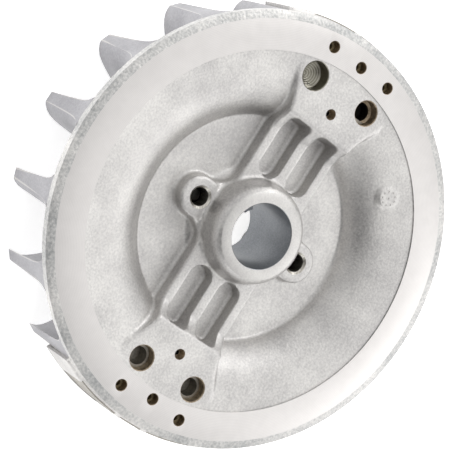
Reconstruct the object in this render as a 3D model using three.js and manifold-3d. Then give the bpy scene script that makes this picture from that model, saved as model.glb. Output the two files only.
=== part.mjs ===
// Flywheel of a small two-stroke engine: a die-cast aluminium fan rotor with a magnet pack, a
// counterweight pack and two starter pawls. Millimetres. +Z runs along the crankshaft towards the
// engine, the rotor stands on its blade tips at z = 0, and +X points at the magnet pack.
import * as THREE from "three";
import { mergeVertices } from "three/addons/utils/BufferGeometryUtils.js";
import Module from "manifold-3d";

const wasm = await Module();
wasm.setup();

// ---- driving dimensions ----
const roundSteps = 60; // facets of a full turn on the large diameters
const holeSteps = 16; // facets of a drilled or cored hole
const gap = 0.3; // clearance between a cast-in piece and its cavity
const past = 2; // how far a cutting body runs past the face that it cuts

const rim = { radius: 49, face: 23, back: 19.9, ringInner: 40.4, ringOuter: 47.14, bevel: 0.55, lip: 0.3 };
const web = { radius: 25.6, front: 15.8, back: 11.8, backRadius: 24.5 };
const hub = {
  face: 25.4, faceRadius: 9.9, waist: 20, waistRadius: 11.7, rootRadius: 12.3,
  nose: 9.7, end: 7.4, endRadius: 10.3,
};
const bore = { mouthRadius: 7.35, taper: 0.05 }; // radius lost per mm of length, a 1:10 cone
const key = { angle: 60, width: 2, height: 1, top: 23.6 };
const bridge = { start: 7, end: 26.2, halfWidth: 9.35, top: 19.5, bottom: 12.2 };
const pocket = { start: 11.85, end: 25.9, near: 1.26, far: 7, floor: 15.9, corner: 2.2 };
const pad = {
  top: 22.6, bottom: 14, halfWidths: [9.4, 10.8, 12, 12.8, 13.4], stations: [26, 30.6, 33, 36, 40.8],
};
const boss = {
  offset: 14.7, radius: 4.7, fillet: 5, top: 19.4, holeRadius: 2.3, fanEnd: 9.8, fanRadius: 5.2,
};
const springSeat = { inner: 3, outer: 4.3, depth: 1.3 };
const block = { angle: 25.3, radius: 49.8, inner: 28.6, bottom: 7.6, top: 20.2 };
const blades = {
  count: 17, first: 46.6, inner: 27, tipThickness: 2.4, rootThickness: 4.6,
  hook: 2.7, hookLength: 1.6, lean: 0.1, slopeRadius: 33, slopeHeight: 5.5,
};
const stations = [27, 33, 39, 43, 45.6, 47.2, 48.2, 49]; // radii where a blade's outline has points
const dateDisc = { radius: 2.65, reach: 34.4, angle: -46, top: 22.1 };

const coreHole = { radius: 2.8, step: 20.4, lowerRadius: 2.1, bottom: 16.8 };
const coreHoles = [[36, -7.5], [-36, -7.5], [-36, 7.5]];
const balanceHole = { x: 35.8, y: 8.4, radius: 3.2, bottom: 19.4 };
const rivetHole = { radius: 1.3, bottom: 20.9 };
const dimple = { x: 31, radius: 1, depth: 1.6 };

const stack = { bottom: 9.6, plates: 6, pitch: 1.8, plate: 1.74 }; // laminated iron packs
const stackTop = stack.bottom + stack.plates * stack.pitch;
const iron = { arc: 49.6, legHalf: 2.9, shoeNear: 4.6, shoeFar: 15.5, shoeStart: 38.8 };
const yoke = { start: 31.6, end: 34.2, halfWidth: 11.6 };
const magnet = { start: 34.5, end: 38.5, near: 4.4, far: 11.4, bottom: 9.7, top: 15.7 };
const counterYoke = { start: 33, end: 39.6 };
const rivet = { radius: 1.15, headRadius: 1.9, head: 0.5, holeRadius: 1.45, play: 0.05 };
const rivets = [[43.3, -8.5], [43.3, 0], [43.3, 8.5]];
const counterRivets = [[43.25, -8.45], [42.34, 0], [43.25, 8.45]];

const pawl = { bottom: 3.45, top: 7, eye: 4.6, bore: 3.05, reach: 12.6, tail: 7, aim: 222, swing: 28 };
const armHalf = { root: 3.1, tip: 1.5, tail: 1.7 };
const screw = {
  headRadius: 4.8, headBottom: 0.7, headTop: 2.8, headBevel: 0.4, shoulder: 2.8, top: 9.5,
  thread: 2, end: 16.6, point: 0.5,
};
const socket = { radius: 2.3, depth: 1.3 };
const washer = { inner: 3, outer: 4.6, bottom: 2.87, thickness: 0.5 };
const spring = { radius: 3.6, wire: 0.33, bottom: 7.5, pitch: 0.85, turns: 2, tang: 10.7 };
const springLeg = { bend: [4.3, -2.4], edge: [5.8, -3.8], end: [6.2, -4, 5.4] }; // hooks over the pawl's arm
const post = { radius: 1.5, bottom: 4, clearance: 0.25, tailReach: 6, armReach: 11.2, armHalf: 1.75 };

// ---- materials ----
const castAluminium = new THREE.MeshStandardMaterial({ color: 0xc4c5c3, roughness: 0.5, metalness: 0.9 });
const siliconSteel = new THREE.MeshStandardMaterial({ color: 0x5d5a55, roughness: 0.45, metalness: 0.9 });
const ferrite = new THREE.MeshStandardMaterial({ color: 0x232326, roughness: 0.7, metalness: 0.1 });
const rivetSteel = new THREE.MeshStandardMaterial({ color: 0x4b4037, roughness: 0.6, metalness: 0.8 });
const pawlSteel = new THREE.MeshStandardMaterial({ color: 0x6e6a62, roughness: 0.4, metalness: 0.9 });
const screwSteel = new THREE.MeshStandardMaterial({ color: 0x8f9092, roughness: 0.35, metalness: 1 });
const springWire = new THREE.MeshStandardMaterial({ color: 0x8a8b8d, roughness: 0.3, metalness: 1 });

// ---- helpers ----
const degrees = (angle) => THREE.MathUtils.degToRad(angle);
const polar = (radius, angle) => new THREE.Vector2(radius * Math.cos(angle), radius * Math.sin(angle));

function signedVolume(positions, triangles) {
  const [a, b, c] = [new THREE.Vector3(), new THREE.Vector3(), new THREE.Vector3()];
  let total = 0;
  for (let i = 0; i < triangles.length; i += 3) {
    a.fromArray(positions, triangles[i] * 3);
    b.fromArray(positions, triangles[i + 1] * 3);
    c.fromArray(positions, triangles[i + 2] * 3);
    total += a.dot(b.cross(c)) / 6;
  }
  return total;
}

// A closed three.js geometry as a manifold-3d solid, its faces turned to point outwards.
function solid(geometry) {
  geometry.deleteAttribute("normal");
  geometry.deleteAttribute("uv");
  const merged = mergeVertices(geometry, 1e-4);
  const positions = merged.attributes.position.array;
  const index = merged.index.array;
  const triangles = [];
  for (let i = 0; i < index.length; i += 3) {
    const [a, b, c] = index.slice(i, i + 3);
    if (a !== b && b !== c && c !== a) triangles.push(a, b, c);
  }
  if (signedVolume(positions, triangles) < 0) triangles.reverse();
  const mesh = new wasm.Mesh({
    numProp: 3,
    vertProperties: Float32Array.from(positions),
    triVerts: Uint32Array.from(triangles),
  });
  return new wasm.Manifold(mesh);
}

function geometryOf(body) {
  const mesh = body.getMesh();
  const geometry = new THREE.BufferGeometry();
  geometry.setAttribute("position", new THREE.BufferAttribute(mesh.vertProperties, 3));
  geometry.setIndex(new THREE.BufferAttribute(mesh.triVerts, 1));
  geometry.computeVertexNormals();
  return geometry;
}

// A profile of [radius, z] points turned about the Z axis.
function turned(profile, steps = roundSteps) {
  const points = [...profile, profile[0]].map(([radius, z]) => new THREE.Vector2(radius, z));
  return solid(new THREE.LatheGeometry(points, steps).rotateX(Math.PI / 2));
}

// A cylinder standing along Z between two heights.
function rod(x, y, radius, bottom, top, steps = holeSteps) {
  const geometry = new THREE.CylinderGeometry(radius, radius, top - bottom, steps);
  return solid(geometry.rotateX(Math.PI / 2).translate(x, y, (bottom + top) / 2));
}

function box(low, high) {
  const size = high.map((value, i) => value - low[i]);
  const centre = high.map((value, i) => (value + low[i]) / 2);
  return solid(new THREE.BoxGeometry(...size).translate(...centre));
}

function extruded(shape, bottom, top, curveSegments = 10) {
  const settings = { depth: top - bottom, bevelEnabled: false, curveSegments };
  return solid(new THREE.ExtrudeGeometry(shape, settings).translate(0, 0, bottom));
}

const union = (bodies) => bodies.reduce((total, body) => total.add(body));
const halfTurn = (body) => body.rotate([0, 0, 180]);

// ---- rotor casting ----
const bezier = (...points) =>
  new THREE.CubicBezierCurve(...points.map(([radius, z]) => new THREE.Vector2(radius, z)))
    .getPoints(6)
    .map((point) => [point.x, point.y]);

// The dished wall between web and rim, seen from the engine side and from the fan side.
const dishFront = () => bezier([rim.ringInner, rim.face - rim.lip], [34, rim.face - 1.1],
  [28.6, web.front + 5.8], [web.radius, web.front]);
const dishBack = () => bezier([web.backRadius, web.back], [30, web.back + 0.4], [33, rim.back - 0.9],
  [41, rim.back]);

const boreRadius = (z) => bore.mouthRadius - bore.taper * (hub.face - z);

function disc() {
  return turned([
    [boreRadius(hub.end), hub.end], [hub.endRadius, hub.end], [hub.endRadius, hub.nose],
    [hub.rootRadius, web.back],
    ...dishBack(), [rim.radius, rim.back], [rim.radius, rim.face - rim.bevel],
    [rim.ringOuter, rim.face], [rim.ringInner, rim.face], ...dishFront(),
    [hub.rootRadius, web.front], [hub.waistRadius, hub.waist], [hub.faceRadius, hub.face],
    [boreRadius(hub.face), hub.face],
  ]);
}

// Angle of a blade's middle line at a radius: nearly radial, with a hook at the outer end.
function bladeAngle(radius) {
  const depth = rim.radius - radius;
  return degrees(blades.hook * (1 - Math.exp(-depth / blades.hookLength)) + blades.lean * depth);
}

function blade() {
  const half = blades.tipThickness / 2;
  const side = (sign) => stations.map((radius) => polar(radius, bladeAngle(radius) + (sign * half) / radius));
  const shape = new THREE.Shape([...side(-1), ...side(1).reverse()]);
  const height = rim.back + gap;
  const geometry = new THREE.ExtrudeGeometry(shape, { depth: height, bevelEnabled: false });
  const position = geometry.attributes.position;
  for (let i = 0; i < position.count; i++) {
    const radius = Math.hypot(position.getX(i), position.getY(i));
    const middle = bladeAngle(radius);
    const draft = 1 + (blades.rootThickness / blades.tipThickness - 1) * (position.getZ(i) / height);
    const turn = Math.atan2(position.getY(i), position.getX(i)) - middle;
    const point = polar(radius, middle + turn * draft);
    position.setXY(i, point.x, point.y);
  }
  return solid(geometry);
}

// The ring of space that the blades may fill: under the dish, with a sloped inner lower corner.
function bladeSpace() {
  const under = dishBack().map(([radius, z]) => [radius, z + 0.8]);
  return turned([
    [blades.inner - 3, blades.slopeHeight + 3], [blades.inner, blades.slopeHeight],
    [blades.slopeRadius, 0], [rim.radius + past, 0], [rim.radius + past, rim.back + gap],
    ...under.reverse(),
  ]);
}

function bladeRing() {
  const all = [];
  for (let i = 0; i < blades.count; i++) {
    all.push(blade().rotate([0, 0, blades.first + (i * 360) / blades.count]));
  }
  return union(all).intersect(bladeSpace());
}

// The thick rim sector that holds one iron pack, with a flat wall towards the hub.
function packBlock() {
  const angle = degrees(block.angle);
  const shape = new THREE.Shape();
  shape.absarc(0, 0, block.radius, -angle, angle, false);
  shape.lineTo(block.inner, block.inner * Math.tan(angle));
  shape.lineTo(block.inner, -block.inner * Math.tan(angle));
  return extruded(shape, block.bottom, block.top, 6);
}

function padPlate() {
  const upper = pad.stations.map((x, i) => new THREE.Vector2(x, pad.halfWidths[i]));
  const lower = upper.map((point) => new THREE.Vector2(point.x, -point.y)).reverse();
  return extruded(new THREE.Shape([...upper, ...lower]), pad.bottom, pad.top);
}

function roundedSlot(x0, y0, x1, y1, corner) {
  const shape = new THREE.Shape();
  shape.absarc(x0 + corner, y0 + corner, corner, Math.PI, 1.5 * Math.PI, false);
  shape.lineTo(x1, y0);
  shape.lineTo(x1, y1);
  shape.absarc(x0 + corner, y1 - corner, corner, 0.5 * Math.PI, Math.PI, false);
  return shape;
}

// The pawl boss and its neck: a round lobe that flares into the bridge's side with a fillet on each side.
function bossPlate() {
  const rise = bridge.halfWidth + boss.fillet;
  const reach = Math.sqrt((boss.radius + boss.fillet) ** 2 - (boss.offset - rise) ** 2);
  const tilt = Math.atan2(boss.offset - rise, reach);
  const shape = new THREE.Shape();
  shape.absarc(reach, rise, boss.fillet, -0.5 * Math.PI, Math.PI - tilt, true);
  shape.absarc(0, boss.offset, boss.radius, -tilt, Math.PI + tilt, false);
  shape.absarc(-reach, rise, boss.fillet, tilt, -0.5 * Math.PI, true);
  shape.lineTo(-reach, bridge.start);
  shape.lineTo(reach, bridge.start);
  return extruded(shape, bridge.bottom, boss.top, 6);
}

// Everything that stands on the disc in the +X half: bridge, pad, pack block, and the +Y pawl boss.
function halfBodies() {
  const bridgeBar = box([bridge.start, -bridge.halfWidth, bridge.bottom],
    [bridge.end, bridge.halfWidth, bridge.top]);
  const fanBoss = rod(0, boss.offset, boss.fanRadius, boss.fanEnd, web.back + 1, 32);
  return [bridgeBar, padPlate(), packBlock(), bossPlate(), fanBoss, ...stopPosts()];
}

// Two posts limit each pawl: one meets its tail at rest, the other its arm when it is thrown out.
function stopPosts() {
  const place = (along, across, half, aim) => {
    const line = polar(along, degrees(aim));
    const offset = polar(across * (half + post.clearance + post.radius), degrees(aim + 90));
    return rod(line.x + offset.x, boss.offset + line.y + offset.y, post.radius, post.bottom, web.back + 1);
  };
  const tailPost = place(post.tailReach, 1, armHalf.tail, pawl.aim - 180);
  const armPost = place(post.armReach, -1, post.armHalf, pawl.aim - pawl.swing);
  return [tailPost, armPost];
}

function halfCuts() {
  const cuts = [];
  for (const [low, high] of [[pocket.near, pocket.far], [-pocket.far, -pocket.near]]) {
    const shape = roundedSlot(pocket.start, low, pocket.end, high, pocket.corner);
    cuts.push(extruded(shape, pocket.floor, bridge.top + past, 5));
  }
  cuts.push(rod(0, boss.offset, boss.holeRadius, boss.fanEnd - past, boss.top + past));
  const seat = rod(0, boss.offset, springSeat.outer, boss.fanEnd - past, boss.fanEnd + springSeat.depth);
  const core = rod(0, boss.offset, springSeat.inner, boss.fanEnd - past, boss.fanEnd + springSeat.depth);
  cuts.push(seat.subtract(core));
  cuts.push(rod(dimple.x, 0, dimple.radius, pad.top - dimple.depth, pad.top + past, 12));
  return cuts;
}

// Stepped holes left by the pins that hold the iron packs in the die.
const coreCuts = (radius, bottom) => coreHoles.map(([x, y]) => rod(x, y, radius, bottom, pad.top + past));

function keyRib() {
  const angle = degrees(key.angle);
  const length = key.top - hub.end;
  const rib = new THREE.BoxGeometry(key.height + 1, key.width, length);
  rib.rotateY(Math.atan(bore.taper));
  const middle = boreRadius(hub.end + length / 2) + 0.5 - key.height / 2;
  rib.translate(middle, 0, hub.end + length / 2).rotateZ(angle);
  return solid(rib).intersect(rod(0, 0, hub.endRadius, hub.end, hub.face));
}

function rotorCasting() {
  const disk = rod(...polar(dateDisc.reach, degrees(dateDisc.angle)), dateDisc.radius, 19, dateDisc.top);
  const bodies = [disc(), bladeRing(), disk];
  for (const body of halfBodies()) bodies.push(body, halfTurn(body));
  const cuts = [
    rod(balanceHole.x, balanceHole.y, balanceHole.radius, balanceHole.bottom, rim.face + past),
    ...coreCuts(coreHole.radius, coreHole.step), ...coreCuts(coreHole.lowerRadius, coreHole.bottom),
    ...packCavity(), ...counterCavity(),
  ];
  for (const cut of halfCuts()) cuts.push(cut, halfTurn(cut));
  const cone = turned([[0, hub.end - past], [boreRadius(hub.end - past), hub.end - past],
    [boreRadius(hub.face + past), hub.face + past], [0, hub.face + past]]);
  return union(bodies).subtract(union([...cuts, cone])).add(keyRib());
}

// ---- iron packs ----
// One outline bounded by the pack's arc, between two y values, from a start x outwards.
function arcPiece(startX, y0, y1, grow) {
  const radius = iron.arc + (grow ? past : 0);
  const low = y0 - grow;
  const high = y1 + grow;
  const shape = new THREE.Shape();
  shape.absarc(0, 0, radius, Math.asin(low / radius), Math.asin(high / radius), false);
  shape.lineTo(startX - grow, high);
  shape.lineTo(startX - grow, low);
  return shape;
}

function rectangle(x0, y0, x1, y1) {
  return new THREE.Shape([[x0, y0], [x1, y0], [x1, y1], [x0, y1]].map(([x, y]) => new THREE.Vector2(x, y)));
}

const slab = (shape, bottom, top) => extruded(shape, bottom, top, 3);

function teeBody(bottom, top, grow = 0) {
  const back = rectangle(yoke.start - grow, -yoke.halfWidth - grow, yoke.end + grow, yoke.halfWidth + grow);
  const leg = arcPiece(yoke.end - 1, -iron.legHalf, iron.legHalf, grow);
  return slab(back, bottom, top).add(slab(leg, bottom, top));
}

function shoeBody(side, bottom, top, grow = 0) {
  const near = Math.min(side * iron.shoeNear, side * iron.shoeFar);
  const far = Math.max(side * iron.shoeNear, side * iron.shoeFar);
  return slab(arcPiece(iron.shoeStart, near, far, grow), bottom, top);
}

function combBody(bottom, top, grow = 0) {
  const back = rectangle(counterYoke.start - grow, -iron.shoeFar - grow, counterYoke.end + grow,
    iron.shoeFar + grow);
  const leg = arcPiece(counterYoke.end - 1, -iron.legHalf, iron.legHalf, grow);
  const bodies = [slab(back, bottom, top), slab(leg, bottom, top)];
  for (const side of [-1, 1]) bodies.push(shoeBody(side, bottom, top, grow));
  return union(bodies);
}

function magnetBody(side, grow = 0) {
  const y = side * (magnet.near + magnet.far) / 2;
  const half = (magnet.far - magnet.near) / 2 + grow;
  const shape = rectangle(magnet.start - grow, y - half, magnet.end + grow, y + half);
  return slab(shape, magnet.bottom - grow, magnet.top + grow);
}

const rivetCuts = (places, radius, bottom, top) => places.map(([x, y]) => rod(x, y, radius, bottom, top, 12));

function packHoles(places) {
  const low = stack.bottom - gap - rivet.head - gap;
  const high = stackTop + gap + rivet.head;
  return [
    ...rivetCuts(places, rivet.headRadius + gap, low, high),
    ...rivetCuts(places, rivetHole.radius, high - gap, rim.face + past),
  ];
}

function packCavity() {
  const low = stack.bottom - gap;
  const high = stackTop + gap;
  return [
    teeBody(low, high, gap), shoeBody(-1, low, high, gap), shoeBody(1, low, high, gap),
    magnetBody(-1, gap), magnetBody(1, gap), ...packHoles(rivets),
  ];
}

function counterCavity() {
  const bodies = [combBody(stack.bottom - gap, stackTop + gap, gap), ...packHoles(counterRivets)];
  return bodies.map(halfTurn);
}

function rivetBody() {
  const low = stack.bottom - rivet.head;
  const high = stackTop + rivet.head;
  const underHead = stack.bottom - rivet.play;
  const overHead = stackTop + rivet.play;
  return turned([
    [0, low], [rivet.headRadius, low], [rivet.headRadius, underHead], [rivet.radius, underHead],
    [rivet.radius, overHead], [rivet.headRadius, overHead], [rivet.headRadius, high], [0, high],
  ], 12);
}

// ---- pawl set ----
// A pawl in its own frame: pivot at the origin, arm along +X, tail along -X.
function pawlBody() {
  const shape = new THREE.Shape();
  const eyeAngle = (half) => Math.asin(half / pawl.eye);
  const tailStart = Math.PI - eyeAngle(armHalf.tail);
  shape.absarc(0, 0, pawl.eye, eyeAngle(armHalf.root), tailStart, false);
  shape.absarc(-pawl.tail + armHalf.tail, 0, armHalf.tail, 0.5 * Math.PI, 1.5 * Math.PI, false);
  shape.absarc(0, 0, pawl.eye, -tailStart, -eyeAngle(armHalf.root), false);
  shape.quadraticCurveTo(pawl.reach * 0.6, -armHalf.root, pawl.reach - 0.8, -armHalf.tip);
  shape.lineTo(pawl.reach, armHalf.tip + 0.9);
  shape.quadraticCurveTo(pawl.reach * 0.7, armHalf.tip + 0.4, pawl.eye, armHalf.root * 0.8);
  const eye = new THREE.Path();
  eye.absarc(0, 0, pawl.bore, 0, 2 * Math.PI, true);
  shape.holes.push(eye);
  return extruded(shape, pawl.bottom, pawl.top, 8);
}

function screwBody() {
  const body = turned([
    [0, screw.headBottom], [screw.headRadius - screw.headBevel, screw.headBottom],
    [screw.headRadius, screw.headBottom + screw.headBevel], [screw.headRadius, screw.headTop],
    [screw.shoulder, screw.headTop], [screw.shoulder, screw.top], [screw.thread, screw.top],
    [screw.thread, screw.end - screw.point], [screw.thread - screw.point, screw.end], [0, screw.end],
  ], 20);
  const depth = screw.headBottom + socket.depth;
  return body.subtract(rod(0, 0, socket.radius, screw.headBottom - past, depth, 6));
}

const washerBody = () => turned([
  [washer.inner, washer.bottom], [washer.outer, washer.bottom],
  [washer.outer, washer.bottom + washer.thickness], [washer.inner, washer.bottom + washer.thickness],
], 20);

// A torsion spring: an axial tang in the boss's groove, a coil, and a leg that hooks over the arm.
function springBody() {
  const points = [];
  const stepsPerTurn = 12;
  const steps = spring.turns * stepsPerTurn;
  const top = spring.bottom + spring.turns * spring.pitch;
  points.push(new THREE.Vector3(spring.radius, 0, spring.tang));
  for (let i = 0; i <= steps; i++) {
    const spot = polar(spring.radius, (-i / stepsPerTurn) * 2 * Math.PI);
    points.push(new THREE.Vector3(spot.x, spot.y, top - (i / stepsPerTurn) * spring.pitch));
  }
  points.push(new THREE.Vector3(...springLeg.bend, spring.bottom));
  points.push(new THREE.Vector3(...springLeg.edge, spring.bottom));
  points.push(new THREE.Vector3(...springLeg.end));
  const path = new THREE.CatmullRomCurve3(points, false, "centripetal");
  const section = new THREE.Shape();
  section.absarc(0, 0, spring.wire, 0, 2 * Math.PI, false);
  const settings = { steps: 46, extrudePath: path, curveSegments: 3, bevelEnabled: false };
  return solid(new THREE.ExtrudeGeometry(section, settings));
}

// ---- assembly ----
const flywheel = new THREE.Group();

function add(parent, name, body, material) {
  const mesh = new THREE.Mesh(geometryOf(body), material);
  mesh.name = name;
  parent.add(mesh);
}

// Plates above the height that is pinned have the die pins' holes through them.
function addPlates(parent, name, outline, places, pinned = stackTop) {
  for (let i = 0; i < stack.plates; i++) {
    const bottom = stack.bottom + i * stack.pitch + (stack.pitch - stack.plate) / 2;
    const holes = rivetCuts(places, rivet.holeRadius, bottom - past, bottom + past + stack.plate);
    if (bottom > pinned) holes.push(...coreCuts(coreHole.lowerRadius, bottom - past).map(halfTurn));
    const plate = outline(bottom, bottom + stack.plate).subtract(union(holes));
    add(parent, `${name}_${i + 1}`, plate, siliconSteel);
  }
}

function addRivets(parent, name, places) {
  places.forEach(([x, y], i) => {
    add(parent, `${name}_${i + 1}`, rivetBody().translate([x, y, 0]), rivetSteel);
  });
}

function addMagnetPack() {
  addPlates(flywheel, "centre_pole_plate", teeBody, rivets);
  addPlates(flywheel, "leading_pole_plate", (low, high) => shoeBody(1, low, high), rivets);
  addPlates(flywheel, "trailing_pole_plate", (low, high) => shoeBody(-1, low, high), rivets);
  add(flywheel, "leading_magnet", magnetBody(1), ferrite);
  add(flywheel, "trailing_magnet", magnetBody(-1), ferrite);
  addRivets(flywheel, "pole_rivet", rivets);
}

function addCounterweight() {
  const side = new THREE.Group();
  side.rotation.z = Math.PI;
  flywheel.add(side);
  addPlates(side, "counterweight_plate", combBody, counterRivets, coreHole.bottom);
  addRivets(side, "counterweight_rivet", counterRivets);
}

function addPawlSet(number, turn) {
  const side = new THREE.Group();
  side.rotation.z = degrees(turn);
  const pivot = new THREE.Group();
  pivot.position.set(0, boss.offset, 0);
  const aimed = new THREE.Group();
  aimed.rotation.z = degrees(pawl.aim);
  flywheel.add(side);
  side.add(pivot);
  pivot.add(aimed);
  add(aimed, `starter_pawl_${number}`, pawlBody(), pawlSteel);
  add(aimed, `pawl_spring_${number}`, springBody(), springWire);
  add(pivot, `pawl_screw_${number}`, screwBody(), screwSteel);
  add(pivot, `pawl_washer_${number}`, washerBody(), screwSteel);
}

add(flywheel, "rotor_casting", rotorCasting(), castAluminium);
addMagnetPack();
addCounterweight();
addPawlSet(1, 0);
addPawlSet(2, 180);

export default flywheel;
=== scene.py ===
# Flywheel of a small two-stroke engine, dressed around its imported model.
# Pieces are modelled in mm, with +Z towards the engine, and become metres when they are finished.
import math
import bpy
import bmesh
from mathutils import Matrix, Vector


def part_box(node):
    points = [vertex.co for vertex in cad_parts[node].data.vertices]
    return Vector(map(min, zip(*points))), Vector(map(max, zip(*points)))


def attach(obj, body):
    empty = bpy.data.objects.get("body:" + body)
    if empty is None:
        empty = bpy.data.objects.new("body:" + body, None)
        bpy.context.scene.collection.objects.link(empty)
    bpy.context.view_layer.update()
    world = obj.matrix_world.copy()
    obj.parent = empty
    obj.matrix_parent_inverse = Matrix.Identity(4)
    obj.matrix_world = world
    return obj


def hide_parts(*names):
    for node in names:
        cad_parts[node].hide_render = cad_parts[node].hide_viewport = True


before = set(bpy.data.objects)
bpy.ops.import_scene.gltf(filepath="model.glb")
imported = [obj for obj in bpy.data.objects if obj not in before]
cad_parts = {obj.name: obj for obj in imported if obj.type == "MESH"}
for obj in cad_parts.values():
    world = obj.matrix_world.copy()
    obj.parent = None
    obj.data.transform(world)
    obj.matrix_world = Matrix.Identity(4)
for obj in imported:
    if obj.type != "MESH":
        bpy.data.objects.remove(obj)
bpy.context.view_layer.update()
scene = bpy.context.scene
mm = 0.001
past = 2  # how far a cutting tool runs past the face that it cuts


def boxOf(node):
    low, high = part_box(node)
    return low / mm, high / mm


def middleOf(node):
    low, high = boxOf(node)
    return (low + high) / 2


castLow, castHigh = boxOf("rotor_casting")
rimRadius = castHigh.y
blockRadius = castHigh.x
hubFace = castHigh.z
pivot = middleOf("pawl_screw_1").y  # the pawls turn at x = 0, y = pivot and -pivot
poleRivets = [middleOf(f"pole_rivet_{i}") for i in (1, 2, 3)]
counterRivets = [middleOf(f"counterweight_rivet_{i}") for i in (1, 2, 3)]
rivetFloor, rivetTop = (corner.z for corner in boxOf("pole_rivet_1"))

camera = {"azimuth": 188.7, "elevation": 60.33, "roll": 114.7, "lens": 149.34,
          "place": (-0.03266, 0.20574, 0.37486)}


def addCamera(values):
    lens = bpy.data.cameras.new("camera")
    lens.lens = values["lens"]
    lens.sensor_width = 36
    lens.clip_start = 0.01
    eye = bpy.data.objects.new("camera", lens)
    lookDown = math.radians(90 - values["elevation"])
    eye.matrix_world = (Matrix.Translation(values["place"])
                        @ Matrix.Rotation(math.radians(values["azimuth"]), 4, "Z")
                        @ Matrix.Rotation(lookDown, 4, "X")
                        @ Matrix.Rotation(math.radians(values["roll"]), 4, "Z"))
    scene.collection.objects.link(eye)
    scene.camera = eye


addCamera(camera)
print("camera placed")


def colour(text):
    channels = [int(text[i:i + 2], 16) / 255 for i in (1, 3, 5)]
    return [c / 12.92 if c <= 0.04045 else ((c + 0.055) / 1.055) ** 2.4 for c in channels] + [1]


def addNode(tree, kind, values={}, links={}, **settings):
    node = tree.nodes.new(kind)
    for name, value in settings.items():
        setattr(node, name, value)
    for name, value in values.items():
        node.inputs[name].default_value = value
    for name, source in links.items():
        tree.links.new(source, node.inputs[name])
    return node


def newMaterial(name, values):
    material = bpy.data.materials.new(name)
    material.use_nodes = True
    tree = material.node_tree
    shader = tree.nodes["Principled BSDF"]
    for socket, value in values.items():
        shader.inputs[socket].default_value = value
    place = addNode(tree, "ShaderNodeTexCoord").outputs["Object"]
    return material, tree, shader, place


def perMetre(size):  # a noise scale whose features are size mm across
    return 1 / (size * mm)


# Pressure die-cast aluminium, lightly blasted: an even silver grey with a fine grain, and a faint
# cloudiness where the metal chilled against the die.
dieCast = {"light": "#dbd9d6", "dark": "#b5b3b2", "mottle": 9, "grain": 0.5, "grainDepth": 0.05,
           "smooth": 0.36, "rough": 0.54}


def grainyMetal(name, v, metallic=1):
    material, tree, shader, place = newMaterial(name, {"Metallic": metallic})
    clouds = addNode(tree, "ShaderNodeTexNoise", {"Scale": perMetre(v["mottle"]), "Detail": 4.0},
                     {"Vector": place}).outputs["Fac"]
    grain = addNode(tree, "ShaderNodeTexNoise", {"Scale": perMetre(v["grain"]), "Detail": 3.0},
                    {"Vector": place}).outputs["Fac"]
    both = addNode(tree, "ShaderNodeMath", links={0: clouds, 1: grain}, operation="ADD").outputs[0]
    shade = addNode(tree, "ShaderNodeMapRange", {"From Min": 0.7, "From Max": 1.3},
                    {"Value": both}).outputs[0]
    tint = addNode(tree, "ShaderNodeMix", {6: colour(v["dark"]), 7: colour(v["light"])}, {0: shade},
                   data_type="RGBA").outputs[2]
    gloss = addNode(tree, "ShaderNodeMapRange", {"To Min": v["smooth"], "To Max": v["rough"]},
                    {"Value": grain}).outputs[0]
    bump = addNode(tree, "ShaderNodeBump", {"Strength": 1.0, "Distance": v["grainDepth"] * mm},
                   {"Height": grain}).outputs[0]
    tree.links.new(tint, shader.inputs["Base Color"])
    tree.links.new(gloss, shader.inputs["Roughness"])
    tree.links.new(bump, shader.inputs["Normal"])
    return material


# Aluminium faced on a lathe: brighter and smoother than the skin, with fine rings from the tool's
# feed. The feed is 0.1 mm and is drawn at 0.35 mm so that it shows.
faced = {"light": "#d9d6d4", "dark": "#cfccca", "feed": 0.35, "feedDepth": 0.0012, "smooth": 0.34,
         "rough": 0.4, "streak": 2.2, "centre": (0, 0, 0)}


def latheFaced(name, v):
    material, tree, shader, place = newMaterial(name, {"Metallic": 1})
    centred = addNode(tree, "ShaderNodeMapping", {"Location": Vector(v["centre"]) * -mm},
                      {"Vector": place}).outputs[0]
    ringScale = math.pi / 10 / (v["feed"] * mm)  # a ring wave repeats every pi / 10 over its scale
    rings = addNode(tree, "ShaderNodeTexWave", {"Scale": ringScale, "Distortion": 0.0}, {"Vector": centred},
                    wave_type="RINGS", rings_direction="Z").outputs["Fac"]
    streaks = addNode(tree, "ShaderNodeTexNoise", {"Scale": perMetre(v["streak"]), "Detail": 5.0},
                      {"Vector": place}).outputs["Fac"]
    both = addNode(tree, "ShaderNodeMath", {1: 0.6}, {0: rings, 2: streaks},
                   operation="MULTIPLY_ADD").outputs[0]
    shade = addNode(tree, "ShaderNodeMapRange", {"From Min": 0.35, "From Max": 1.25},
                    {"Value": both}).outputs[0]
    tint = addNode(tree, "ShaderNodeMix", {6: colour(v["dark"]), 7: colour(v["light"])}, {0: shade},
                   data_type="RGBA").outputs[2]
    gloss = addNode(tree, "ShaderNodeMapRange", {"To Min": v["smooth"], "To Max": v["rough"]},
                    {"Value": streaks}).outputs[0]
    bump = addNode(tree, "ShaderNodeBump", {"Strength": 1.0, "Distance": v["feedDepth"] * mm},
                   {"Height": rings}).outputs[0]
    tree.links.new(tint, shader.inputs["Base Color"])
    tree.links.new(gloss, shader.inputs["Roughness"])
    tree.links.new(bump, shader.inputs["Normal"])
    return material


aluminium = grainyMetal("aluminium_die_cast", dieCast, 0.85)
turnedFace = latheFaced("aluminium_lathe_faced", faced)
# The rim's chamfer keeps the die's coarser skin, so it looks speckled beside the faced ring.
rimSkin = grainyMetal("aluminium_die_skin", dict(dieCast, light="#e0dedb", dark="#a5a6a6", grain=0.6,
                                                  grainDepth=0.09), 0.85)
# The blades' skin is darker and cooler than the rest of the casting: painted shade on the blades.
shadedFanSkin = grainyMetal("aluminium_die_cast_fan_painted_shade", dict(dieCast, light="#b5b4b7", dark="#97969a"), 0.85)
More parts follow.
